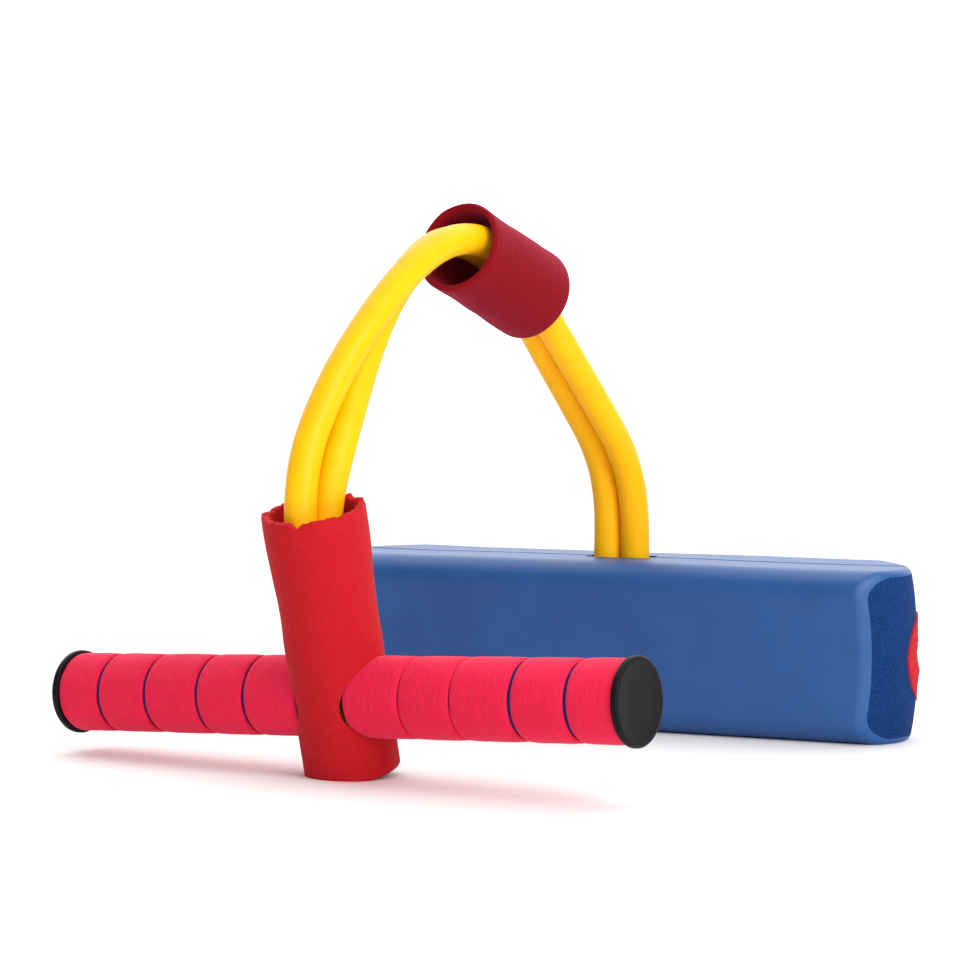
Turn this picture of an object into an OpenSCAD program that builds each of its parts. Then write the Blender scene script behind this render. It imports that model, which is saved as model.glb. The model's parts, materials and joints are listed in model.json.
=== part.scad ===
// Child's foam pogo jumper: a foam block to stand on, a closed ring of thick
// rubber tube rising from it, and a foam-covered handlebar at the ring's far end.
// The handlebar lies on the floor in front of the block, and the ring arches over.
// Millimetres. Origin at the centre of the block's underside, +X along the block,
// +Z up. The handlebar lies towards -Y.

/* [Foam block] */
// Length over the rounded ends
block_length = 340; // [280:1:380]
// Width, front to back
block_width = 95; // [88:1:110]
// Height
block_height = 90; // [84:1:105]
// Radius of the long edges
block_edge = 14; // [8:1:18]
// How far towards the front (-Y) of the middle each end stands out most
end_peak = 15; // [0:1:20]
// How far each end falls back to its front corner
end_front = 20; // [6:1:28]
// How far each end falls back to its back corner
end_back = 44; // [6:1:50]
// How far the long faces are hollowed
face_hollow = 1.5; // [0.5:0.1:3]
// Height of the lengthwise bore above the underside
bore_height = 43; // [40:1:48]

/* [Anchor in the block] */
// Outside diameter of the red foam sleeves in the bore
anchor_sleeve_d = 47; // [42:0.5:50]
// Outside diameter of the plastic tube that the ring hooks round
anchor_tube_d = 20; // [16:0.5:22]
// Gap between the two foam sleeves, where the ring passes
anchor_gap = 48; // [44:1:60]
// Length of the slot in the top face
slot_length = 37; // [35:0.5:44]
// Width of the slot
slot_width = 19.4; // [19:0.1:24]

/* [Rubber ring] */
// Outside diameter of the rubber tube
cord_d = 15.6; // [14:0.1:15.8]
// Distance between the ring's two strands
strand_pitch = 16.4; // [16.2:0.1:17]
// Angle from the block's cross direction to the arch, seen from above
arch_turn = 10.3; // [0:0.1:20]

/* [Slider sleeve] */
// Outside diameter
slider_d = 48; // [46:0.5:52]
// Bore
slider_bore = 40.8; // [39:0.2:42]
// Length
slider_length = 72; // [50:1:80]
// Slope of its axis below level, towards the block
slider_slope = 20; // [16:1:30]

/* [Hub sleeve] */
// Outside diameter at the mouth, where the ring spreads it
hub_mouth_d = 50; // [48:0.5:54]
// Outside diameter of the rest
hub_d = 47; // [46:0.5:48]
// Wall thickness
hub_wall = 4; // [3.6:0.1:4.4]
// Length above the handlebar's axis
hub_above = 94; // [80:1:100]
// Length below the handlebar's axis
hub_below = 37; // [32:1:37]
// Lean of its axis from upright
hub_lean = 13.4; // [10:0.1:14]
// Hole for the handlebar
hub_hole_d = 40; // [39.8:0.1:40.4]

/* [Handlebar] */
// Length over the end caps
bar_length = 334; // [300:1:360]
// Outside diameter of the plastic tube
bar_tube_d = 14; // [12:0.5:14]
// Outside diameter of the blue foam core
core_d = 34.6; // [30:0.2:36]
// Outside diameter of the pink foam rings
ring_d = 39.4; // [38:0.1:39.4]
// Width of the grooves between rings
groove = 1.8; // [1:0.1:3]
// Outside diameter of the end caps
cap_d = 42; // [41:0.5:44]
// Thickness of an end cap's rim
cap_rim = 3.6; // [3:0.1:5]
// Tilt of the bar, right end up
bar_tilt = 3.1; // [0:0.1:4]
// Turn of the bar from square to the arch
bar_skew = 1; // [0:0.1:3]

/* [Hidden] */
$fn = 96;

cord_r = cord_d / 2;
anchor_half_gap = anchor_tube_d / 2 + cord_r + 0.8;
flat_r = 5.8;                     // half thickness of a strand squeezed round the bar
bar_half_gap = bar_tube_d / 2 + flat_r + 0.15;
inner_end = 14;                   // from the hub's axis to the grips' inner ends

// The ring's middle line in its own upright plane, from the anchor tube to the bar:
// straight runs, and clockwise turns of a radius to a new heading (90 is straight up).
RUN = 0;
TURN = 1;
route = [
    [RUN, 65.6], [TURN, 68, 50], [TURN, 177, 44.4], [RUN, 108.1],
    [TURN, 65, 0], [TURN, 67, -27], [TURN, 134, -43.7],
    [TURN, 255, -63.5], [TURN, 82, -107.1], [RUN, 62]
];
route_start = [0, bore_height, 90];

function stretch(leg, heading) =
    leg[0] == RUN ? leg[1] : leg[1] * (heading - leg[2]) * PI / 180;
function walk(p, leg, along) =
    leg[0] == RUN
    ? [p[0] + along * cos(p[2]), p[1] + along * sin(p[2]), p[2]]
    : let (turned = p[2] - along / leg[1] * 180 / PI)
      [p[0] + leg[1] * (sin(p[2]) - sin(turned)),
       p[1] + leg[1] * (cos(turned) - cos(p[2])), turned];
function route_at(along, i = 0, p = route_start) =
    let (whole = stretch(route[i], p[2]))
    i == len(route) - 1 || along <= whole
    ? walk(p, route[i], along)
    : route_at(along - whole, i + 1, walk(p, route[i], whole));
function route_total(i = 0, p = route_start) =
    let (whole = stretch(route[i], p[2]))
    i == len(route) - 1 ? whole : whole + route_total(i + 1, walk(p, route[i], whole));

ring_reach = route_total();
bar_centre = route_at(ring_reach);

// How the two strands lie about the middle line: half their distance apart, the
// twist of the pair (0 is side by side across the arch, 90 is one inside the other)
// and half a strand's thickness in the arch's plane.
half_gap_at = [[0, anchor_half_gap], [5, anchor_half_gap], [34, strand_pitch / 2],
               [ring_reach - 46, strand_pitch / 2], [ring_reach - 12, bar_half_gap],
               [ring_reach, bar_half_gap]];
twist_at = [[0, 90], [6, 90], [30, 14], [46, 10], [110, -2], [185, -8], [235, -17],
            [286, 0], [330, 32], [360, 48], [390, 70], [420, 97], [450, 119],
            [478, 103], [ring_reach - 40, 90]];
thick_at = [[0, cord_r], [ring_reach - 46, cord_r], [ring_reach - 12, flat_r],
            [ring_reach, flat_r]];

// The ring is one piece of rubber. It is drawn as the stretches that turn apart as
// the arch unrolls, and these are the distances along the route where they meet.
meets = [30, 91, 212, 290, 340, 415, 475];
seam = 0.1;                       // each stretch ends this far short of the next

SIDES = 12;
RING_STEP = 13;
BEND_STEPS = 10;

// Across the arch is x, away from the block is -y, up is z.
function inward(heading) = [0, -sin(heading), -cos(heading)];
function onward(heading) = [0, -cos(heading), sin(heading)];
function section(centre, across, thick) = [
    for (i = [0:SIDES - 1])
        centre + thick * cos(i * 360 / SIDES) * across
               + [cord_r * sin(i * 360 / SIDES), 0, 0]
];
function strand_section(along, side) =
    let (c = route_at(along), across = inward(c[2]),
         apart = side * lookup(along, half_gap_at), twist = lookup(along, twist_at))
    section([0, -c[0], c[1]] + apart * sin(twist) * across
            - [apart * cos(twist), 0, 0], side * across, lookup(along, thick_at));
function strand_sections(from, to, side) =
    let (steps = ceil(abs(to - from) / RING_STEP))
    [for (k = [0:steps]) strand_section(from + (to - from) * k / steps, side)];
// Round a tube at the route's end: way is 1 at the far end and -1 at the start.
function bend_sections(along, way) =
    let (c = route_at(along), across = inward(c[2]), on = way * onward(c[2]),
         apart = lookup(along, half_gap_at), thick = lookup(along, thick_at))
    [for (k = [1:BEND_STEPS - 1])
        let (turn = 180 * k / BEND_STEPS,
             out = way * cos(turn) * across + sin(turn) * on)
        section([0, -c[0], c[1]] + apart * out, out, thick)];

module skin(rows) {
    points = [for (row = rows) each row];
    last = len(rows) - 1;
    walls = [for (k = [0:last - 1], i = [0:SIDES - 1])
        let (j = (i + 1) % SIDES)
        [k * SIDES + i, k * SIDES + j, (k + 1) * SIDES + j, (k + 1) * SIDES + i]];
    start_cap = [for (i = [SIDES - 1:-1:0]) i];
    end_cap = [for (i = [0:SIDES - 1]) last * SIDES + i];
    polyhedron(points, concat(walls, [start_cap], [end_cap]), convexity = 6);
}
module in_arch() rotate([0, 0, -arch_turn]) children();
module two_strands(from, to) {
    color("gold") in_arch() {
        skin(strand_sections(from + seam, to - seam, 1));
        skin(strand_sections(to - seam, from + seam, -1));
    }
}
module hooked_end(meet, along, way) {
    start = meet + way * seam;
    color("gold") in_arch() skin(concat(strand_sections(start, along, way),
        bend_sections(along, way), strand_sections(along, start, -way)));
}

module ring_anchor_bend() hooked_end(meets[0], 0, -1);
module ring_leg_foot() two_strands(meets[0], meets[1]);
module ring_leg_rise() two_strands(meets[1], meets[2]);
module ring_under_slider() two_strands(meets[2], meets[3]);
module ring_crown() two_strands(meets[3], meets[4]);
module ring_drop_upper() two_strands(meets[4], meets[5]);
module ring_drop_lower() two_strands(meets[5], meets[6]);
module ring_handle_bend() hooked_end(meets[6], ring_reach, 1);

// --- block ---------------------------------------------------------------
module rounded_rectangle(width, height, radius) {
    square([width - 2 * radius, height], center = true);
    square([width, height - 2 * radius], center = true);
    for (x = [-1, 1], y = [-1, 1])
        translate([x * (width / 2 - radius), y * (height / 2 - radius)]) circle(radius);
}
module hollow(span, depth) {
    radius = (span * span / 4 + depth * depth) / (2 * depth);
    translate([0, radius - depth]) circle(radius, $fn = 360);
}
groove_r = 2;
module block_section() {
    difference() {
        translate([0, block_height / 2])
            rounded_rectangle(block_width, block_height, block_edge);
        translate([block_width / 2, block_height / 2])
            rotate(-90) hollow(block_height - block_edge, face_hollow);
        translate([-block_width / 2, block_height / 2])
            rotate(90) hollow(block_height - block_edge, face_hollow);
        translate([0, block_height + groove_r * 0.4]) circle(groove_r);
    }
}
END_STEPS = 24;
FRONT_POWER = 2.2;
BACK_POWER = 1.8;
function end_fall(y) =
    let (from_peak = y + end_peak, half = block_width / 2)
    from_peak < 0 ? end_front * pow(-from_peak / (half - end_peak), FRONT_POWER)
                  : end_back * pow(from_peak / (half + end_peak), BACK_POWER);
function end_outline(way, proud = 0) = [
    for (k = [-END_STEPS:END_STEPS])
        let (y = way * k / END_STEPS * (block_width / 2 + 1))
        [way * (block_length / 2 + proud - end_fall(y)), y]
];
chamber_r = anchor_half_gap + cord_r + 0.9;
throat_half = 18.6;
throat_top = block_height - 18;
squeaker_place = [-92, 0, 2.5];
squeaker_d = 34;
squeaker_height = 14;
module foam_block() {
    color("royalblue") difference() {
        intersection() {
            rotate([90, 0, 90])
                linear_extrude(block_length + 2, center = true) block_section();
            linear_extrude(block_height + 1)
                polygon(concat(end_outline(1), end_outline(-1)));
        }
        translate([0, 0, bore_height]) rotate([0, 90, 0]) {
            cylinder(h = block_length + 2, d = anchor_sleeve_d + 0.1, center = true);
            cylinder(h = anchor_gap, r = chamber_r, center = true);
        }
        translate([-anchor_gap / 2, -throat_half, bore_height])
            cube([anchor_gap, 2 * throat_half, throat_top - bore_height]);
        translate([-slot_length / 2, -slot_width / 2, bore_height])
            cube([slot_length, slot_width, block_height]);
        translate(squeaker_place - [0, 0, 0.5])
            cylinder(h = squeaker_height + 1, d = squeaker_d + 1);
    }
}
module anchor_tube() {
    color("dimgray") translate([0, 0, bore_height]) rotate([0, 90, 0]) difference() {
        cylinder(h = block_length - 36, d = anchor_tube_d, center = true);
        cylinder(h = block_length, d = anchor_tube_d - 5, center = true);
    }
}
// The sleeves are cut off along the block's ends. The right one's torn end stands a
// little way out.
module anchor_sleeve(way, proud) {
    color("crimson") intersection() {
        translate([way * anchor_gap / 2, 0, bore_height])
            rotate([0, way * 90, 0]) difference() {
                cylinder(h = block_length, d = anchor_sleeve_d);
                translate([0, 0, -1]) cylinder(h = block_length, d = anchor_tube_d + 0.1);
            }
        linear_extrude(block_height)
            polygon(concat(end_outline(1, proud), end_outline(-1, proud)));
    }
}
module anchor_sleeve_left() anchor_sleeve(-1, -2);
module anchor_sleeve_right() anchor_sleeve(1, 1);
reed_d = 9;
reed_height = 4;
module squeaker_bellows() {
    color("white") translate(squeaker_place) rotate_extrude() difference() {
        polygon([[0, 0], [squeaker_d / 2, 0], [squeaker_d / 2 - 3, squeaker_height / 4],
                 [squeaker_d / 2, squeaker_height / 2],
                 [squeaker_d / 2 - 3, squeaker_height * 3 / 4],
                 [squeaker_d / 2, squeaker_height], [0, squeaker_height]]);
        polygon([[0, 1.5], [squeaker_d / 2 - 5, 1.5],
                 [squeaker_d / 2 - 5, squeaker_height - 1.5],
                 [reed_d / 2 + 0.05, squeaker_height - 1.5],
                 [reed_d / 2 + 0.05, squeaker_height + 1], [0, squeaker_height + 1]]);
    }
}
module squeaker_reed() {
    color("ivory") translate(squeaker_place + [0, 0, squeaker_height - reed_height])
        difference() {
            cylinder(h = reed_height, d = reed_d);
            translate([0, 0, -1]) cylinder(h = reed_height + 2, d = 3);
        }
}

// --- sleeves on the ring ---------------------------------------------------
SLIDER_MIDDLE = 256.5;            // distance along the route
slider_drop = 7.9;                // its axis lies this far inside the ring's middle line
module slider_sleeve() {
    c = route_at(SLIDER_MIDDLE);
    color("firebrick") in_arch()
        translate([0, -c[0], c[1]] + slider_drop * [0, -sin(slider_slope), -cos(slider_slope)])
        rotate([90 - slider_slope, 0, 0]) difference() {
            cylinder(h = slider_length, d = slider_d, center = true);
            cylinder(h = slider_length + 2, d = slider_bore, center = true);
        }
}
hub_flare = 30;                   // length over which the mouth widens
module at_bar() in_arch() translate([0, -bar_centre[0], bar_centre[1]]) children();
module along_bar() at_bar() rotate([0, -bar_tilt, bar_skew]) rotate([0, 90, 0]) children();
module hub_outline(mouth_r, body_r, low, high) {
    polygon([[0, low], [body_r, low], [body_r, hub_above - hub_flare * 2],
             [mouth_r, hub_above - hub_flare / 3], [mouth_r, high], [0, high]]);
}
module hub_sleeve() {
    color("red") difference() {
        at_bar() rotate([hub_lean, 0, 0]) rotate_extrude() difference() {
            hub_outline(hub_mouth_d / 2, hub_d / 2, -hub_below, hub_above);
            hub_outline(hub_mouth_d / 2 - hub_wall, hub_d / 2 - hub_wall,
                        -hub_below - 1, hub_above + 1);
        }
        along_bar() cylinder(h = hub_d + 20, d = hub_hole_d, center = true);
        translate([-100, -400, -20]) cube([200, 400, 20]);
    }
}

// --- handlebar ---------------------------------------------------------------
module along_side(way) along_bar() mirror([0, 0, way > 0 ? 0 : 1]) children();
plug_depth = 18;
module bar_tube() {
    color("dimgray") along_bar() difference() {
        cylinder(h = bar_length - 2 * cap_rim, d = bar_tube_d, center = true);
        cylinder(h = bar_length, d = bar_tube_d - 4, center = true);
    }
}
module grip_core(way) {
    color("mediumblue") along_side(way) difference() {
        translate([0, 0, inner_end])
            cylinder(h = bar_length / 2 - cap_rim - inner_end, d = core_d);
        cylinder(h = bar_length, d = bar_tube_d);
    }
}
module grip_core_left() grip_core(-1);
module grip_core_right() grip_core(1);
// Where the grooves lie, from the handlebar's middle
grooves = [46, 75, 108, 138];
ring_starts = concat([inner_end], [for (g = grooves) g + groove / 2]);
ring_ends = concat([for (g = grooves) g - groove / 2], [bar_length / 2 - cap_rim]);
module grip_ring(way, i) {
    color("deeppink") along_side(way) translate([0, 0, ring_starts[i]]) difference() {
        cylinder(h = ring_ends[i] - ring_starts[i], d = ring_d);
        translate([0, 0, -1]) cylinder(h = ring_ends[i] - ring_starts[i] + 2, d = core_d);
    }
}
module end_cap(way) {
    rim_round = 1.2;
    color("black") along_side(way) translate([0, 0, bar_length / 2 - cap_rim]) {
        rotate_extrude() union() {
            square([cap_d / 2 - rim_round, cap_rim]);
            square([cap_d / 2, cap_rim - rim_round]);
            translate([cap_d / 2 - rim_round, cap_rim - rim_round]) circle(rim_round);
        }
        translate([0, 0, -plug_depth]) cylinder(h = plug_depth + 1, d = bar_tube_d - 4);
    }
}
module end_cap_left() end_cap(-1);
module end_cap_right() end_cap(1);

foam_block();
anchor_tube();
anchor_sleeve_left();
anchor_sleeve_right();
squeaker_bellows();
squeaker_reed();
ring_anchor_bend();
ring_leg_foot();
ring_leg_rise();
ring_under_slider();
ring_crown();
ring_drop_upper();
ring_drop_lower();
ring_handle_bend();
slider_sleeve();
hub_sleeve();
bar_tube();
grip_core_left();
grip_core_right();
grip_ring(-1, 4);  // grip_ring_left_1
grip_ring(-1, 3);  // grip_ring_left_2
grip_ring(-1, 2);  // grip_ring_left_3
grip_ring(-1, 1);  // grip_ring_left_4
grip_ring(-1, 0);  // grip_ring_left_5
grip_ring(1, 0);  // grip_ring_right_1
grip_ring(1, 1);  // grip_ring_right_2
grip_ring(1, 2);  // grip_ring_right_3
grip_ring(1, 3);  // grip_ring_right_4
grip_ring(1, 4);  // grip_ring_right_5
end_cap_left();
end_cap_right();
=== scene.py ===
# %% [markdown]
# # A foam pogo jumper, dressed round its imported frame
# The real toy is a foam block to stand on, a thick rubber ring that rises from it, and
# a handlebar at the ring's far end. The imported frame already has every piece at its
# true size and place. This lesson gives each one its soft shape and its finish.
# Everything is in metres: +X runs along the block, +Z is up, and the handlebar lies
# towards -Y.

# %% Load the frame
import json
import math

import bmesh
import bpy
from mathutils import Matrix, Vector, noise

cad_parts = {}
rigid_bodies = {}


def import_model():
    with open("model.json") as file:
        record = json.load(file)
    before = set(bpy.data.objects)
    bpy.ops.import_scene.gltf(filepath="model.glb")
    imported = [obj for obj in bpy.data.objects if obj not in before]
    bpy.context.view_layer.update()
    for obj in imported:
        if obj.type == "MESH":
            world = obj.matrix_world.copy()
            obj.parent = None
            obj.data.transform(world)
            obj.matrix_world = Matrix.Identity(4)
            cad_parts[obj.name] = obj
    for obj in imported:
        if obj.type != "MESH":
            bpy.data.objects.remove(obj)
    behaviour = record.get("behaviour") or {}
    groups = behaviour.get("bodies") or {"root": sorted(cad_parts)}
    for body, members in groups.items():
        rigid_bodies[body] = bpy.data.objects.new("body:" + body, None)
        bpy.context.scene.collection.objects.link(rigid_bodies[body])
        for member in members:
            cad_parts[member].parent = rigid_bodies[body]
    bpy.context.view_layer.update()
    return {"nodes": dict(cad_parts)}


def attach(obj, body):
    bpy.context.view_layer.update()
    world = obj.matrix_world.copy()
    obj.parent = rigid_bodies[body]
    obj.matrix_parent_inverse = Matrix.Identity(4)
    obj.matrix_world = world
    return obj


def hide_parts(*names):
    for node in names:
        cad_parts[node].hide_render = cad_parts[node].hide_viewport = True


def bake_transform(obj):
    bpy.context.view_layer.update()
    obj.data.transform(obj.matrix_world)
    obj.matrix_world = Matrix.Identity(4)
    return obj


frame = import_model()
scene = bpy.context.scene
MM = 0.001

# %% [markdown]
# ## The places that the soft pieces are built round
# The arch stands in an upright plane that is turned a little from the block's cross
# direction. Each sleeve and grip is easiest to shape upright at the origin, so each has
# a matrix that carries it to its place. The sizes repeat those of the frame's source.

# %% Sizes and places
BLOCK = Vector((340, 95, 90))
BLOCK_EDGE = 14
END_PEAK, END_FRONT, END_BACK = 15, 20, 44
BORE_HEIGHT = 43
ARCH_TURN = math.radians(-10.3)
CORD_R = 7.8
STRAND_HALF_GAP = 7.95
FLAT_R = 5.8
ANCHOR_HALF_GAP = 18.6
BAR_HALF_GAP = 12.95
BAR_LENGTH = 334
CAP_RIM = 3.6
INNER_END = 14
BORE_R = 23.6
HUB_LEAN, BAR_SKEW, BAR_TILT = 13.4, 1, -3.1
SLIDER_ALONG, SLIDER_DROP, SLIDER_SLOPE = 256.5, 7.9, math.radians(20)
RUN, TURN = "run", "turn"
ROUTE = [(RUN, 65.6), (TURN, 68, 50), (TURN, 177, 44.4), (RUN, 108.1),
         (TURN, 65, 0), (TURN, 67, -27), (TURN, 134, -43.7),
         (TURN, 255, -63.5), (TURN, 82, -107.1), (RUN, 62)]


def walk(point, leg, along):
    """The point and heading after going some way along one leg of the route."""
    s, z, heading = point
    if leg[0] == RUN:
        turn = math.radians(heading)
        return s + along * math.cos(turn), z + along * math.sin(turn), heading
    radius, before = leg[1], math.radians(heading)
    after = before - along / radius
    return (s + radius * (math.sin(before) - math.sin(after)),
            z + radius * (math.cos(after) - math.cos(before)), math.degrees(after))


def leg_length(leg, heading):
    return leg[1] if leg[0] == RUN else leg[1] * math.radians(heading - leg[2])


def route_at(along):
    """Distance out from the block, height and heading at a distance along the ring."""
    point = (0, BORE_HEIGHT, 90)
    for leg in ROUTE[:-1]:
        whole = leg_length(leg, point[2])
        if along <= whole:
            return walk(point, leg, along)
        along, point = along - whole, walk(point, leg, whole)
    return walk(point, ROUTE[-1], along)


def route_total():
    point, total = (0, BORE_HEIGHT, 90), 0
    for leg in ROUTE:
        whole = leg_length(leg, point[2])
        total, point = total + whole, walk(point, leg, whole)
    return total


REACH = route_total()
IN_ARCH = Matrix.Rotation(ARCH_TURN, 4, "Z")
bar_out, bar_up, _ = route_at(REACH)
AT_BAR = IN_ARCH @ Matrix.Translation((0, -bar_out * MM, bar_up * MM))
ALONG_BAR = (AT_BAR @ Matrix.Rotation(math.radians(BAR_SKEW), 4, "Z")
             @ Matrix.Rotation(math.radians(BAR_TILT), 4, "Y")
             @ Matrix.Rotation(math.radians(90), 4, "Y"))
AT_HUB = AT_BAR @ Matrix.Rotation(math.radians(HUB_LEAN), 4, "X")
slider_out, slider_up, _ = route_at(SLIDER_ALONG)
slider_inward = Vector((0, -math.sin(SLIDER_SLOPE), -math.cos(SLIDER_SLOPE)))
AT_SLIDER = (IN_ARCH @ Matrix.Translation((0, -slider_out * MM, slider_up * MM))
             @ Matrix.Translation(slider_inward * SLIDER_DROP * MM)
             @ Matrix.Rotation(math.radians(90) - SLIDER_SLOPE, 4, "X"))
print("ring reaches", round(REACH, 1), "mm, bar", round(bar_up, 1), "mm up")

# %% [markdown]
# ## The view
# A long lens from low down in front and to the right, as in a catalogue.

# %% Camera
camera_data = bpy.data.cameras.new("Camera")
camera_data.lens = 112.45
camera_data.sensor_width = 36
camera_data.clip_start = 0.05
camera = bpy.data.objects.new("Camera", camera_data)
camera.location = (0.617, -1.534, 0.219)
camera.rotation_euler = (math.radians(90 - 3.117), 0, math.radians(24.5))
scene.collection.objects.link(camera)
scene.camera = camera

# %% [markdown]
# ## Floor and light
# A white floor under a world that is dim apart from one huge soft patch, above and
# behind the toy. The patch lights everything from the back, and its reflection gives the
# block's top its pale gloss. A wide sun and a lamp light the sides that face the view,
# more from the right than from the left.

# %% Floor, world and lights
scene.view_settings.view_transform = "Standard"


def link(name, data):
    made = bpy.data.objects.new(name, data)
    scene.collection.objects.link(made)
    return made


floor_material = bpy.data.materials.new("floor_paper")
floor_material.use_nodes = True
floor_surface = floor_material.node_tree.nodes["Principled BSDF"]
floor_surface.inputs["Base Color"].default_value = (0.86, 0.86, 0.86, 1)
floor_surface.inputs["Roughness"].default_value = 0.9
floor_surface.inputs["Specular IOR Level"].default_value = 0.2
floor_mesh = bpy.data.meshes.new("floor")
bm = bmesh.new()
bmesh.ops.create_grid(bm, x_segments=1, y_segments=1, size=14)
bm.to_mesh(floor_mesh)
bm.free()
floor_mesh.materials.append(floor_material)
floor = link("floor", floor_mesh)

SOFTBOX = Vector((-0.25, 0.62, 0.74)).normalized()


def studio_world():
    world = bpy.data.worlds.new("studio")
    world.use_nodes = True
    tree = world.node_tree
    background = tree.nodes["Background"]
    background.inputs["Color"].default_value = (1, 1, 1, 1)
    direction = tree.nodes.new("ShaderNodeTexCoord")
    towards = tree.nodes.new("ShaderNodeVectorMath")
    towards.operation = "DOT_PRODUCT"
    towards.inputs[1].default_value = SOFTBOX
    tree.links.new(direction.outputs["Generated"], towards.inputs[0])
    glow = tree.nodes.new("ShaderNodeMapRange")
    glow.interpolation_type = "SMOOTHSTEP"
    for name, value in (("From Min", 0.4), ("From Max", 0.8), ("To Min", 0.15),
                        ("To Max", 2.3)):
        glow.inputs[name].default_value = value
    tree.links.new(towards.outputs["Value"], glow.inputs["Value"])
    tree.links.new(glow.outputs["Result"], background.inputs["Strength"])
    return world


scene.world = studio_world()


def wide_sun(name, direction, strength, spread):
    data = bpy.data.lights.new(name, "SUN")
    data.energy, data.angle = strength, math.radians(spread)
    lamp = link(name, data)
    lamp.rotation_euler = Vector(direction).to_track_quat("Z", "Y").to_euler()


wide_sun("front", (0.7, -1.2, 0.7), 0.7, 50)
key_data = bpy.data.lights.new("key", "AREA")
key_data.energy, key_data.size = 13, 0.7
KEY_AIM = Vector((0, -0.15, 0.1))
key = link("key", key_data)
key.location = (1.05, -0.75, 0.75)
key.rotation_euler = (key.location - KEY_AIM).to_track_quat("Z", "Y").to_euler()

# %% [markdown]
# ## Finishes
# Foam is dull and full of small cells: its colour is mottled, its surface is pitted, and
# a sheen lightens it where it is seen edge on. Patterns read object coordinates, in
# metres, so a scale of 900 gives grains of about a millimetre.

# %% Helpers for materials
def new_material(name, roughness):
    material = bpy.data.materials.new(name)
    material.use_nodes = True
    tree = material.node_tree
    surface = tree.nodes["Principled BSDF"]
    surface.inputs["Roughness"].default_value = roughness
    return material, tree, surface


def add(tree, kind, **values):
    node = tree.nodes.new(kind)
    for key, value in values.items():
        if hasattr(node, key):
            setattr(node, key, value)
        else:
            node.inputs[key.replace("_", " ")].default_value = value
    return node


def placed(tree, turn=(0, 0, 0)):
    """Object coordinates, turned."""
    source = add(tree, "ShaderNodeTexCoord")
    mapping = add(tree, "ShaderNodeMapping")
    mapping.inputs["Rotation"].default_value = turn
    tree.links.new(source.outputs["Object"], mapping.inputs["Vector"])
    return mapping.outputs["Vector"]


def grain(tree, vector, scale, detail=3.0, roughness=0.6):
    node = add(tree, "ShaderNodeTexNoise", Scale=scale, Detail=detail, Roughness=roughness)
    tree.links.new(vector, node.inputs["Vector"])
    return node.outputs["Fac"]


def between(tree, factor, low, high, dark, light):
    """A colour that goes from dark to light as the factor goes from low to high."""
    ramp = add(tree, "ShaderNodeValToRGB")
    ramp.color_ramp.elements[0].position, ramp.color_ramp.elements[1].position = low, high
    ramp.color_ramp.elements[0].color = (*dark, 1)
    ramp.color_ramp.elements[1].color = (*light, 1)
    tree.links.new(factor, ramp.inputs["Fac"])
    return ramp.outputs["Color"]


def bump(tree, surface, height, strength, distance, under=None):
    node = add(tree, "ShaderNodeBump", Strength=strength, Distance=distance)
    tree.links.new(height, node.inputs["Height"])
    if under is not None:
        tree.links.new(under, node.inputs["Normal"])
    tree.links.new(node.outputs["Normal"], surface.inputs["Normal"])
    return node.outputs["Normal"]


def shade(colour, by):
    return tuple(min(1, c * by) for c in colour)


def foam(name, colour, grain_scale, mottle, pit_strength, pit_depth, roughness=0.85,
         sheen=0.3, sheen_tint=(1, 1, 1), along=None):
    """Closed-cell foam: mottled colour, pits, and a soft sheen at the edges. Where it was
    ground on a lathe, the cells are drawn out round the axis that along gives."""
    material, tree, surface = new_material(name, roughness)
    vector = placed(tree)
    if along:
        vector = placed(tree, along.to_3x3().inverted().to_euler())
        threads = add(tree, "ShaderNodeMapping")
        threads.inputs["Scale"].default_value = (0.3, 0.3, 1.4)
        tree.links.new(vector, threads.inputs["Vector"])
        vector = threads.outputs["Vector"]
    cells = grain(tree, vector, grain_scale)
    tree.links.new(between(tree, cells, 0.35, 0.65, shade(colour, 1 - mottle),
                           shade(colour, 1 + mottle)), surface.inputs["Base Color"])
    surface.inputs["Specular IOR Level"].default_value = 0.15
    surface.inputs["Sheen Weight"].default_value = sheen
    surface.inputs["Sheen Roughness"].default_value = 0.45
    surface.inputs["Sheen Tint"].default_value = (*sheen_tint, 1)
    coarse = grain(tree, vector, grain_scale * 0.28, 2.0)
    low = bump(tree, surface, coarse, pit_strength * 0.6, pit_depth * 2.5)
    bump(tree, surface, cells, pit_strength, pit_depth, low)
    return material


# %% [markdown]
# The block's skin was pressed against a warm mould, so it is smoother and shinier than
# its cut ends. The hub, slider and grips were ground, which leaves fine threads of foam
# round the grips.

# %% Foam finishes
red_foam = foam("red_foam", (0.5, 0.008, 0.014), 1500, 0.16, 0.5, 0.0006,
                sheen=0.1, sheen_tint=(1, 0.4, 0.4))
slider_foam = foam("slider_foam", (0.21, 0.0006, 0.003), 1300, 0.2, 0.5, 0.0006,
                   sheen=0.3, sheen_tint=(1, 0.1, 0.3))
core_foam = foam("core_foam", (0.015, 0.035, 0.22), 1500, 0.15, 0.4, 0.0004, sheen=0.1)
cut_blue_foam = foam("cut_blue_foam", (0.004, 0.038, 0.165), 1100, 0.35, 0.9, 0.0012,
                     sheen=0.0)
pink_foam = foam("pink_foam", (0.8, 0.014, 0.065), 1000, 0.06, 0.8, 0.0006,
                 sheen=0.15, sheen_tint=(1, 0.5, 0.6), along=ALONG_BAR)


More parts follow.
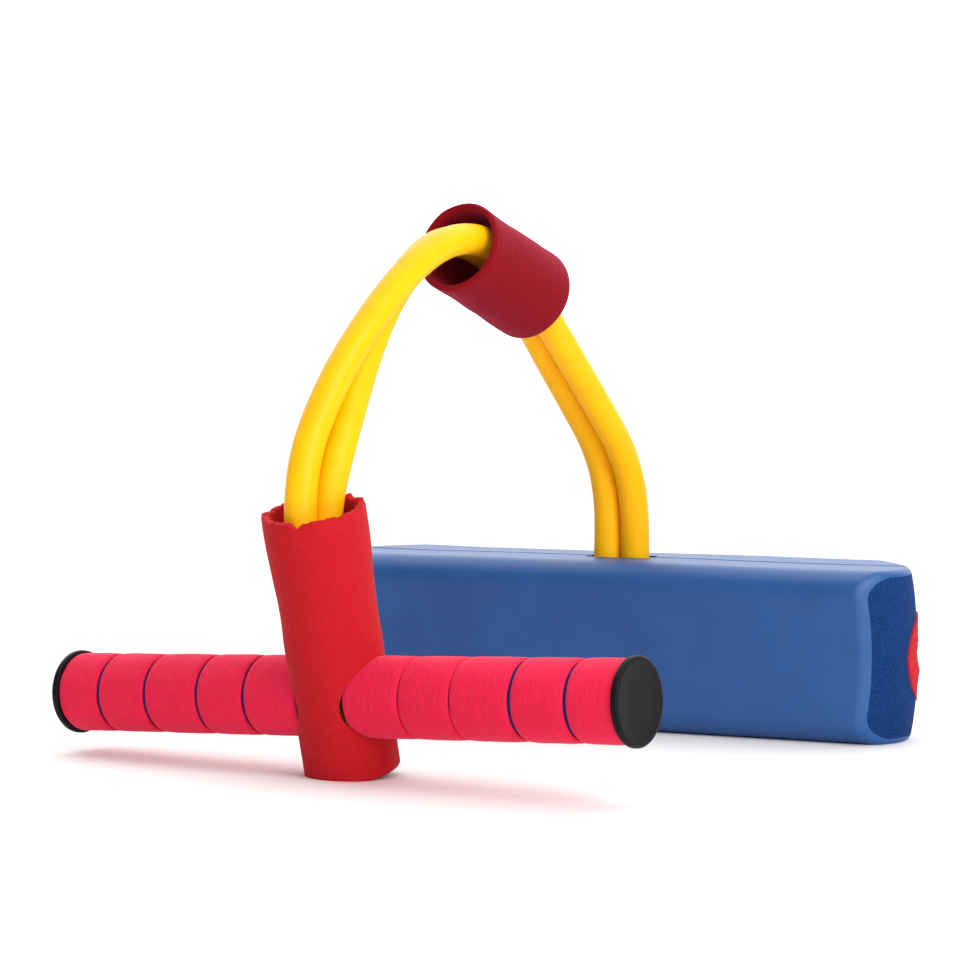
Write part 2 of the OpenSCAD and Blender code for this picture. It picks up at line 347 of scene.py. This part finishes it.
def block_skin():
    material, tree, surface = new_material("blue_skin", 0.5)
    vector = placed(tree)
    clouds = grain(tree, vector, 35, 4.0)
    specks = grain(tree, vector, 1600, 2.0)
    tree.links.new(between(tree, clouds, 0.3, 0.7, (0.004, 0.068, 0.245),
                           (0.006, 0.082, 0.290)), surface.inputs["Base Color"])
    surface.inputs["Specular IOR Level"].default_value = 0.55
    low = bump(tree, surface, clouds, 0.12, 0.002)
    bump(tree, surface, specks, 0.25, 0.0004, low)
    return material


blue_skin = block_skin()

# %% [markdown]
# The ring is smooth latex tube: even in colour, a little waxy, and light goes some way
# into it. The caps are satin black plastic.

# %% Rubber and plastic finishes
def ring_rubber_finish():
    material, tree, surface = new_material("ring_rubber", 0.42)
    vector = placed(tree)
    clouds = grain(tree, vector, 60, 3.0)
    tree.links.new(between(tree, clouds, 0.3, 0.7, (0.99, 0.49, 0.0),
                           (1.0, 0.54, 0.001)), surface.inputs["Base Color"])
    surface.inputs["Specular IOR Level"].default_value = 0.18
    surface.inputs["Subsurface Weight"].default_value = 0.15
    surface.inputs["Subsurface Radius"].default_value = (1.0, 0.45, 0.05)
    surface.inputs["Subsurface Scale"].default_value = 0.003
    bump(tree, surface, grain(tree, vector, 500, 2.0), 0.06, 0.0004)
    return material


def plastic(name, colour, roughness, texture=0.15, gloss=0.4):
    material, tree, surface = new_material(name, roughness)
    surface.inputs["Specular IOR Level"].default_value = gloss
    vector = placed(tree)
    fine = grain(tree, vector, 900, 3.0)
    tree.links.new(between(tree, fine, 0.3, 0.7, shade(colour, 0.92), shade(colour, 1.08)),
                   surface.inputs["Base Color"])
    bump(tree, surface, fine, texture, 0.0003)
    return material


ring_rubber = ring_rubber_finish()
cap_plastic = plastic("cap_plastic", (0.006, 0.004, 0.006), 0.5, gloss=0.12)
tube_plastic = plastic("tube_plastic", (0.2, 0.2, 0.21), 0.4)
squeaker_plastic = plastic("squeaker_plastic", (0.75, 0.75, 0.7), 0.4)

# %% [markdown]
# ## Working with meshes
# A piece is shaped in a bmesh and then becomes an object at the origin. Edges sharper
# than a limit stay crisp, and the rest are shaded smooth.

# %% Helpers for pieces
def as_object(bm, name, *materials, crisp=42):
    bmesh.ops.recalc_face_normals(bm, faces=bm.faces)
    for face in bm.faces:
        face.smooth = True
    for edge in bm.edges:
        edge.smooth = edge.calc_face_angle(0) < math.radians(crisp)
    mesh = bpy.data.meshes.new(name)
    bm.to_mesh(mesh)
    bm.free()
    for material in materials:
        mesh.materials.append(material)
    return link(name, mesh)


def stands_for(piece, slot, *nodes):
    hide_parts(*nodes)
    return piece


def turned(profile, steps=128):
    """A closed outline of (radius, height) in mm, spun round the Z axis."""
    bm = bmesh.new()
    corners = [bm.verts.new((r * MM, 0, z * MM)) for r, z in profile]
    edges = [bm.edges.new((a, b)) for a, b in zip(corners, corners[1:] + corners[:1])]
    bmesh.ops.spin(bm, geom=corners + edges, cent=(0, 0, 0), axis=(0, 0, 1),
                   angle=2 * math.pi, steps=steps, use_merge=True, use_normal_flip=False,
                   use_duplicate=False)
    bmesh.ops.remove_doubles(bm, verts=bm.verts, dist=1e-6)
    return bm


def arc(centre, radius, start, end, steps=4):
    """Points round part of a circle in the outline, angles in degrees."""
    return [(centre[0] + radius * math.cos(math.radians(start + (end - start) * k / steps)),
             centre[1] + radius * math.sin(math.radians(start + (end - start) * k / steps)))
            for k in range(steps + 1)]


def tube_outline(outer, inner, low, high, lip, step=3.0):
    """The outline of a foam tube with rounded lips. outer and inner give radii at a height."""
    rows = max(2, round((high - low - 2 * lip) / step))
    heights = [low + lip + (high - low - 2 * lip) * k / rows for k in range(rows + 1)]
    top_middle = high - lip
    return ([(outer(z), z) for z in heights]
            + arc((outer(high) - lip, top_middle), lip, 0, 90)[1:]
            + arc((inner(high) + lip, top_middle), lip, 90, 180)
            + [(inner(z), z) for z in reversed(heights)][1:]
            + arc((inner(low) + lip, low + lip), lip, 180, 270)[1:]
            + arc((outer(low) - lip, low + lip), lip, 270, 360)[:-1])


def wobble(bm, size, depth, seed=0):
    """Pushes the vertices about gently, as soft foam is never quite true."""
    for vert in bm.verts:
        shift = noise.noise_vector(vert.co / (size * MM) + Vector((seed, 0, 0)))
        vert.co += shift * depth * MM


def carve(piece, cutter_bm):
    """Takes the cutter's shape out of the piece."""
    cutter = as_object(cutter_bm, "cutter")
    for face in cutter.data.polygons:
        face.material_index = len(piece.data.materials) - 1
    cut = piece.modifiers.new("cut", "BOOLEAN")
    cut.operation, cut.solver, cut.object = "DIFFERENCE", "EXACT", cutter
    settled = bpy.context.evaluated_depsgraph_get()
    mesh = bpy.data.meshes.new_from_object(piece.evaluated_get(settled))
    piece.modifiers.clear()
    old, piece.data = piece.data, mesh
    bpy.data.meshes.remove(old)
    bpy.data.objects.remove(cutter)


def crisp_edges(piece, limit):
    """Smooth shading again, apart from the sharp edges that a cut has made."""
    bm = bmesh.new()
    bm.from_mesh(piece.data)
    for face in bm.faces:
        face.smooth = True
    for edge in bm.edges:
        edge.smooth = edge.calc_face_angle(0) < math.radians(limit)
    bm.to_mesh(piece.data)
    bm.free()


# %% [markdown]
# ## The foam block
# The block starts as a cube that planes slice into a fine grid. Every vertex then moves
# from the cube to the block: the long edges are rounded, the long faces are a little
# hollow, and each end is domed. Its rim is drawn in along a quarter circle.

# %% Block body
HALF = BLOCK / 2
RIM = 3.2


def slices(values):
    return sorted(set(values) | {-v for v in values})


def end_reach(y, z):
    from_peak = y + END_PEAK
    if from_peak < 0:
        fall = END_FRONT * (-from_peak / (HALF.y - END_PEAK)) ** 2.2
    else:
        fall = END_BACK * (from_peak / (HALF.y + END_PEAK)) ** 1.8
    return HALF.x - fall - 3.5 * abs(z / HALF.z) ** 3


def block_place(vert):
    """From the cube of -1 to 1 to the block, in mm about its middle."""
    u, v, w = vert
    size = max(abs(v), abs(w))
    if size < 1e-9:
        return Vector((u * end_reach(0, 0), 0, 0))
    y, z = v / size * HALF.y, w / size * HALF.z
    nearest = Vector((max(-HALF.y + BLOCK_EDGE, min(HALF.y - BLOCK_EDGE, y)),
                      max(-HALF.z + BLOCK_EDGE, min(HALF.z - BLOCK_EDGE, z))))
    out = Vector((y, z)) - nearest
    if out.length > BLOCK_EDGE:
        y, z = nearest + out.normalized() * BLOCK_EDGE
    hollow = 1.5 * max(0, 1 - (z / (HALF.z - BLOCK_EDGE / 2)) ** 2)
    if abs(y) > HALF.y - BLOCK_EDGE:
        y -= math.copysign(hollow, y)
    y, z = y * size, z * size
    if w > 0.98 and abs(y) < 2.2:
        z -= 1.2 * (1 - (y / 2.2) ** 2)
    inset = min(RIM, (1 - abs(u)) * HALF.x)
    inset = RIM - math.sqrt(RIM ** 2 - (RIM - inset) ** 2)
    y, z = y * (1 - inset / HALF.y), z * (1 - inset / HALF.z)
    return Vector((u * end_reach(y, z), y, z))


def block_body():
    bm = bmesh.new()
    bmesh.ops.create_cube(bm, size=2)
    lengthwise = slices([k * 9 / HALF.x for k in range(18)]
                        + [1 - back / HALF.x for back in (0.15, 0.6, 1.3, 2.2, 3.2, 6)])
    crosswise = slices([v / HALF.y for v in (0, 0.8, 1.5, 2.3, 4, 8, 12, 16, 20, 24, 28,
                                             31, 34, 37, 40.5)])
    upright = slices([v / HALF.z for v in (0, 4, 8, 12, 16, 20, 24, 28, 31, 34, 38.5)])
    for axis, cuts in enumerate((lengthwise, crosswise, upright)):
        normal = Vector((0, 0, 0))
        normal[axis] = 1
        for at in cuts:
            bmesh.ops.bisect_plane(bm, geom=bm.verts[:] + bm.edges[:] + bm.faces[:],
                                   plane_co=normal * at, plane_no=normal)
    for face in bm.faces:
        face.material_index = 1 if all(abs(abs(v.co.x) - 1) < 1e-5 for v in face.verts) else 0
    for vert in bm.verts:
        vert.co = block_place(vert.co)
    for vert in bm.verts:
        vert.co = (vert.co + Vector((0, 0, HALF.z))) * MM
    wobble(bm, 70, 0.5)
    for vert in bm.verts:
        vert.co.z = max(vert.co.z, 0)
    return as_object(bm, "foam_block_body", blue_skin, cut_blue_foam)


block = block_body()
print("block body:", len(block.data.polygons), "faces")

# %% [markdown]
# A bore, the pocket and chamber that the ring hooks round in, the slot it comes up
# through, and a seat for the squeaker are then carved out. The red sleeves lie in the
# bore, which runs from end to end.

# %% Carve the block
def box_bm(low, high, corner=0.0):
    bm = bmesh.new()
    bmesh.ops.create_cube(bm, size=1)
    low, high = Vector(low) * MM, Vector(high) * MM
    bmesh.ops.scale(bm, vec=high - low, verts=bm.verts)
    bmesh.ops.translate(bm, vec=(low + high) / 2, verts=bm.verts)
    if corner:
        upright = [e for e in bm.edges
                   if abs(e.verts[0].co.z - e.verts[1].co.z) > (high - low).z / 2]
        bmesh.ops.bevel(bm, geom=upright, offset=corner * MM, affect="EDGES", segments=5,
                        profile=0.5, material=-1)
    return bm


def rod_bm(place, radius, length, sides=96):
    bm = bmesh.new()
    bmesh.ops.create_cone(bm, cap_ends=True, segments=sides, radius1=radius * MM,
                          radius2=radius * MM, depth=length * MM, matrix=place)
    return bm


# Half sizes across the block, as (along, across), and heights, in mm
CHAMBER, CHAMBER_HEIGHTS = (24, 18.6), (30, 72)
SLOT, SLOT_HEIGHTS, SLOT_CORNER = (18.5, 9.7), (40, 110), 3
HOOK_POCKET_R, HOOK_POCKET_LENGTH = 27.3, 48
SQUEAKER_PLACE, SQUEAKER_R, SQUEAKER_DEPTH = (-0.092, 0, 0.0095), 17.5, 15
THROUGH = 420


def pocket(half, heights, corner=0.0):
    return box_bm((-half[0], -half[1], heights[0]), (half[0], half[1], heights[1]), corner)


along_block = (Matrix.Translation((0, 0, BORE_HEIGHT * MM))
               @ Matrix.Rotation(math.radians(90), 4, "Y"))
carve(block, rod_bm(along_block, BORE_R, THROUGH))
carve(block, rod_bm(along_block, HOOK_POCKET_R, HOOK_POCKET_LENGTH))
carve(block, pocket(CHAMBER, CHAMBER_HEIGHTS))
carve(block, pocket(SLOT, SLOT_HEIGHTS, SLOT_CORNER))
carve(block, rod_bm(Matrix.Translation(SQUEAKER_PLACE), SQUEAKER_R, SQUEAKER_DEPTH))
crisp_edges(block, 35)
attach(block, "base")
stands_for(block, "blue_foam", "foam_block")
print("block carved:", len(block.data.polygons), "faces")

# %% [markdown]
# ## The red sleeves in the bore
# Each is a thick foam tube round the anchor tube. They were torn off to length, so the
# outer ends are ragged, and the right one stands a little way out of the block.

# %% Anchor sleeves
def ragged(place, size, seed):
    """A torn edge's ups and downs, from about -1 to 1."""
    here = place / (size * MM) + Vector((seed, 0, 0))
    return noise.noise(here) + 0.6 * noise.noise(here * 2.7 + Vector((9, 0, 0)))


SLEEVE_R, SLEEVE_BORE_R, SLEEVE_START = 23.45, 10.1, 24


def anchor_sleeve(side, way, proud, tag):
    """Cut along the block's end. proud is how far it stands out, tag the longest shred."""
    bm = turned(tube_outline(lambda z: SLEEVE_R, lambda z: SLEEVE_BORE_R, 0,
                             HALF.x - SLEEVE_START + 6, 1.2, 6))
    place = Matrix.Translation((way * SLEEVE_START * MM, 0, BORE_HEIGHT * MM))
    bmesh.ops.transform(bm, verts=bm.verts,
                        matrix=place @ Matrix.Rotation(way * math.radians(90), 4, "Y"))
    for vert in bm.verts:
        y, z = vert.co.y / MM, vert.co.z / MM
        end = (end_reach(y, z - HALF.z) + proud + 0.5 * ragged(vert.co, 2.2, way * 5)
               + tag * math.exp(-((z - 38) / 4) ** 2 - ((y + 2) / 9) ** 2))
        vert.co.x = way * min(way * vert.co.x, end * MM)
    sleeve = as_object(bm, "anchor_sleeve_" + side + "_foam", red_foam)
    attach(sleeve, "base")
    stands_for(sleeve, "red_foam", "anchor_sleeve_" + side)


anchor_sleeve("left", -1, -2, 0)
anchor_sleeve("right", 1, 0.6, 2)

# %% [markdown]
# ## The rubber ring
# The ring is one closed tube, seen as two strands that twist round one another. Each
# strand is swept by extruding a circle along its middle line. The ring is cut into seven
# pieces at places that stay stiff.

# %% Strand middle lines
STEP = 3.0
SIDES = 36


def lookup(table, at):
    for (a, low), (b, high) in zip(table, table[1:]):
        if at <= b:
            return low + (high - low) * max(0, at - a) / (b - a)
    return table[-1][1]


HALF_GAP = [(0, ANCHOR_HALF_GAP), (5, ANCHOR_HALF_GAP), (34, STRAND_HALF_GAP),
            (REACH - 46, STRAND_HALF_GAP), (REACH - 12, BAR_HALF_GAP), (REACH, BAR_HALF_GAP)]
TWIST = [(0, 90), (6, 90), (30, 14), (46, 10), (110, -2), (185, -8), (235, -17), (286, 0),
         (330, 32), (360, 48), (390, 70), (420, 97), (450, 119), (478, 103), (REACH - 40, 90)]
THICKNESS = [(0, CORD_R), (REACH - 46, CORD_R), (REACH - 12, FLAT_R), (REACH, FLAT_R)]
ENDS = 4


def inward(heading):
    return Vector((0, -math.sin(math.radians(heading)), -math.cos(math.radians(heading))))


def strand_point(along, side):
    out, up, heading = route_at(along)
    gap, twist = side * lookup(HALF_GAP, along), math.radians(lookup(TWIST, along))
    return (Vector((0, -out, up)) + inward(heading) * gap * math.sin(twist)
            - Vector((gap * math.cos(twist), 0, 0)))


def eased(points, rounds):
    """Evens out the corners in a line of points, and leaves its ends."""
    for _ in range(rounds):
        points = (points[:ENDS]
                  + [(a + b * 2 + c) / 4 for a, b, c in
                     zip(points[ENDS - 1:], points[ENDS:], points[ENDS + 1:-ENDS + 1])]
                  + points[-ENDS:])
    return points


ring_steps = round(REACH / STEP)
distances = [REACH * k / ring_steps for k in range(ring_steps + 1)]
strands = {side: eased([strand_point(d, side) for d in distances], 12) for side in (1, -1)}


def section(centre, direction, across, thick):
    """A matrix that takes a unit circle to a cross-section of the strand."""
    direction = direction.normalized()
    across = (across - direction * across.dot(direction)).normalized()
    over = direction.cross(across)
    place = Matrix((across * thick, over * CORD_R, direction * CORD_R)).transposed().to_4x4()
    place.translation = centre
    return IN_ARCH @ Matrix.Scale(MM, 4) @ place


def strand_sections(first, last, side):
    line, way = strands[side], 1 if last > first else -1
    found = []
    for k in range(first, last + way, way):
        before, after = line[max(k - 1, 0)], line[min(k + 1, len(line) - 1)]
        found.append(section(line[k], (after - before) * way,
                             inward(route_at(distances[k])[2]) * side,
                             lookup(THICKNESS, distances[k])))
    return found


def bend_sections(along, way):
    """Round the tube at one end of the ring, from strand way to the other."""
    out, up, heading = route_at(along)
    across = inward(heading)
    ahead = Vector((0, -math.cos(math.radians(heading)), math.sin(math.radians(heading)))) * way
    gap, thick = lookup(HALF_GAP, along), lookup(THICKNESS, along)
    found = []
    for k in range(1, 20):
        angle = math.pi * k / 20
        outward = across * math.cos(angle) * way + ahead * math.sin(angle)
        forward = -across * math.sin(angle) * way + ahead * math.cos(angle)
        found.append(section(Vector((0, -out, up)) + outward * gap, forward, outward, thick))
    return found


def sweep(bm, places):
    """Extrudes a circle through the places, and closes both ends."""
    ring = bmesh.ops.create_circle(bm, segments=SIDES, radius=1, matrix=places[0])["verts"]
    edges = list(dict.fromkeys(edge for vert in ring for edge in vert.link_edges))
    ends = [edges]
    for before, after in zip(places, places[1:]):
        made = bmesh.ops.extrude_edge_only(bm, edges=edges)["geom"]
        edges = [g for g in made if isinstance(g, bmesh.types.BMEdge)]
        moved = [g for g in made if isinstance(g, bmesh.types.BMVert)]
        bmesh.ops.transform(bm, matrix=after @ before.inverted(), verts=moved)
        edges = [e for e in edges if all(v in moved for v in e.verts)]
    ends.append(edges)
    for loop in ends:
        bmesh.ops.contextual_create(bm, geom=loop)


# %% [markdown]
# The seven pieces meet at stiff places, well away from the hinges.

# %% Ring pieces
def nearest(along):
    return min(range(len(distances)), key=lambda k: abs(distances[k] - along))


def on_route(along):
    out, up, _ = route_at(along)
    return IN_ARCH @ (Vector((0, -out, up)) * MM)


RING_PIECES = [
    ("ring_foot", 0, 61, "base", "leg_foot", 14, 59, ["ring_anchor_bend"]),
    ("ring_leg", 61, 153, "leg_foot", "leg_rise", 66, 116, ["ring_leg_foot"]),
    ("ring_rise", 153, 253, "leg_rise", "under_slider", 188, 236, ["ring_leg_rise"]),
    ("ring_top", 253, 313, "under_slider", "crown", 271, 309, ["ring_under_slider"]),
    ("ring_fall_upper", 313, 382, "crown", "drop_upper", 318, 362, ["ring_crown"]),
    ("ring_fall_lower", 382, 447, "drop_upper", "drop_lower", 391, 439,
     ["ring_drop_upper"]),
    ("ring_handle_loop", 447, REACH, "drop_lower", "hub", 453, 497,
     ["ring_drop_lower", "ring_handle_bend"]),
]


def ring_piece(name, start, end, body, next_body, bend_from, bend_to, nodes):
    bm = bmesh.new()
    first, last = nearest(start), nearest(end)
    if start == 0:
        sweep(bm, strand_sections(last, 0, -1) + bend_sections(0, -1)
              + strand_sections(0, last, 1))
    elif end == REACH:
        sweep(bm, strand_sections(first, last, 1) + bend_sections(REACH, 1)
              + strand_sections(last, first, -1))
    else:
        sweep(bm, strand_sections(first, last, 1))
        sweep(bm, strand_sections(last, first, -1))
    piece = as_object(bm, name, ring_rubber, crisp=60)
    on_route(bend_from)
    on_route(bend_to)
    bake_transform(piece)
    stands_for(piece, "ring_rubber", *nodes)
    return piece


for row in RING_PIECES:
    made = ring_piece(*row)
    print(made.name, len(made.data.polygons), "faces")

# %% [markdown]
# ## The slider sleeve
# A short foam tube that hangs loosely on both strands. It is spun from an outline with
# rounded lips and sides that are not quite straight.

# %% Slider sleeve
SLIDER_HALF, SLIDER_BORE_R, SLIDER_LIP = 35.8, 20.4, 2.0


def slider_outer(z):
    return 23.8 + 0.35 * math.sin(math.radians(z * 4 + 200))


slider_bm = turned(tube_outline(slider_outer, lambda z: SLIDER_BORE_R, -SLIDER_HALF,
                                SLIDER_HALF, SLIDER_LIP))
wobble(slider_bm, 14, 0.35, 3)
bmesh.ops.transform(slider_bm, verts=slider_bm.verts, matrix=AT_SLIDER)
slider = as_object(slider_bm, "slider_foam_sleeve", slider_foam)
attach(slider, "slider")
stands_for(slider, "slider_foam", "slider_sleeve")

# %% [markdown]
# ## The hub sleeve
# A longer foam tube over the ring's handle end. Its mouth is spread by the ring and was
# torn off by hand, with one deep notch at the front. The foot is squashed flat where it
# stands on the floor, and a round hole lets the handlebar through.

# %% Hub sleeve
HUB_LOW, HUB_HIGH, HUB_LIP = -37, 93.4, 1.3
HUB_HOLE_R = 19.85
# Angle round the sleeve in degrees, depth in mm and width in degrees
NICKS = [(-73, -2.9, 4), (-66, -0.8, 9), (79, 1.8, 2.5), (52, 1.5, 2.5), (-150, 0.9, 5),
         (-170, -0.8, 5), (-20, -0.6, 6), (20, 0.8, 3)]


def eased_share(z, low, high):
    share = max(0, min(1, (z - low) / (high - low)))
    return share * share * (3 - 2 * share)


def hub_outer(z):
    return 23.4 + 1.4 * eased_share(z, 40, 86) + 0.15 * math.sin(z / 11)


def hub_inner(z):
    return 19.6 + 1.4 * eased_share(z, 40, 86)


hub_bm = turned(tube_outline(hub_outer, hub_inner, HUB_LOW, HUB_HIGH, HUB_LIP), 160)
for vert in hub_bm.verts:
    share = eased_share(vert.co.z / MM, 84, 92)
    around = math.degrees(math.atan2(vert.co.y, vert.co.x))
    rise = 0.6 * ragged(vert.co.xy.to_3d(), 2.0, 2)
    for angle, depth, width in NICKS:
        apart = (around - angle + 180) % 360 - 180
        rise += depth * math.exp(-(apart / width) ** 2)
    vert.co.z += rise * share * MM
wobble(hub_bm, 16, 0.3, 7)
bmesh.ops.transform(hub_bm, verts=hub_bm.verts, matrix=AT_HUB)
for vert in hub_bm.verts:
    vert.co.z = max(vert.co.z, 0)
hub = as_object(hub_bm, "hub_foam_sleeve", red_foam)
carve(hub, rod_bm(ALONG_BAR, HUB_HOLE_R, 80, 128))
crisp_edges(hub, 40)
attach(hub, "hub")
stands_for(hub, "red_foam", "hub_sleeve")
print("hub sleeve:", len(hub.data.polygons), "faces")

# %% [markdown]
# ## The grips
# Five pink foam rings on each side, over a blue core that shows as a dark line in most
# of the grooves. On the right side two of the grooves have closed up to a cut line.

# %% Grip rings
GROOVES = [46, 75, 108, 138]
GAPS = {"left": [1.8, 1.8, 1.8, 1.8], "right": [0.5, 0.5, 1.8, 1.8]}
RING_R, CORE_R, EDGE = 19.6, 17.35, 1.1


def grip_side(way):
    return ALONG_BAR @ (Matrix.Identity(4) if way > 0 else Matrix.Rotation(math.pi, 4, "X"))


def grip_ring(side, way, k):
    gaps = GAPS[side]
    low = INNER_END if k == 0 else GROOVES[k - 1] + gaps[k - 1] / 2
    high = BAR_LENGTH / 2 - CAP_RIM if k == 4 else GROOVES[k] - gaps[k] / 2
    middle, half = (low + high) / 2, (high - low) / 2

    def outer(z):
        return RING_R + 0.1 - 0.35 * ((z - middle) / half) ** 4

    bm = turned(tube_outline(outer, lambda z: CORE_R, low, high, EDGE, 2.5))
    wobble(bm, 9, 0.16, way * (k + 1) * 3)
    bmesh.ops.transform(bm, verts=bm.verts, matrix=grip_side(way))
    number = k + 1 if way > 0 else 5 - k
    ring = as_object(bm, f"grip_foam_{side}_{number}", pink_foam)
    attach(ring, "handlebar")
    stands_for(ring, "pink_foam", f"grip_ring_{side}_{number}")


for side, way in (("left", -1), ("right", 1)):
    for k in range(5):
        grip_ring(side, way, k)

# %% [markdown]
# ## The end caps
# Turned like buttons: a rim, a shallow step and a very slightly hollow face, with a plug
# that holds the cap in the handlebar's tube.

# %% End caps
CAP_OUTLINE = ([(0, -18), (4.9, -18), (4.95, 0), (20.2, 0)] + arc((20.0, 1.0), 1.0, -70, 0)
               + arc((19.6, 2.2), 1.4, 0, 90) + [(18.2, 3.5), (17.4, 3.35), (9, 3.2), (0, 3.15)])


def end_cap(side, way):
    bm = bmesh.new()
    corners = [bm.verts.new((r * MM, 0, z * MM)) for r, z in CAP_OUTLINE]
    edges = [bm.edges.new(pair) for pair in zip(corners, corners[1:])]
    bmesh.ops.spin(bm, geom=corners + edges, cent=(0, 0, 0), axis=(0, 0, 1),
                   angle=2 * math.pi, steps=128, use_merge=True)
    bmesh.ops.remove_doubles(bm, verts=bm.verts, dist=1e-6)
    bmesh.ops.transform(bm, verts=bm.verts, matrix=grip_side(way) @ Matrix.Translation(
        (0, 0, (BAR_LENGTH / 2 - CAP_RIM) * MM)))
    cap = as_object(bm, f"end_cap_{side}_button", cap_plastic, crisp=30)
    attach(cap, "handlebar")
    stands_for(cap, "cap_plastic", f"end_cap_{side}")


end_cap("left", -1)
end_cap("right", 1)

# %% [markdown]
# ## Pieces that keep their frame shape
# The tubes, the foam cores and the squeaker are simple round parts that hardly show, so
# they stay as they are and only get a finish.

# %% Finish the carried-over pieces
CARRIED = {"bar_tube": tube_plastic, "anchor_tube": tube_plastic,
           "grip_core_left": core_foam, "grip_core_right": core_foam,
           "squeaker_bellows": squeaker_plastic, "squeaker_reed": squeaker_plastic}
for node, material in CARRIED.items():
    for entry in frame["nodes"][node].material_slots:
        entry.material = material
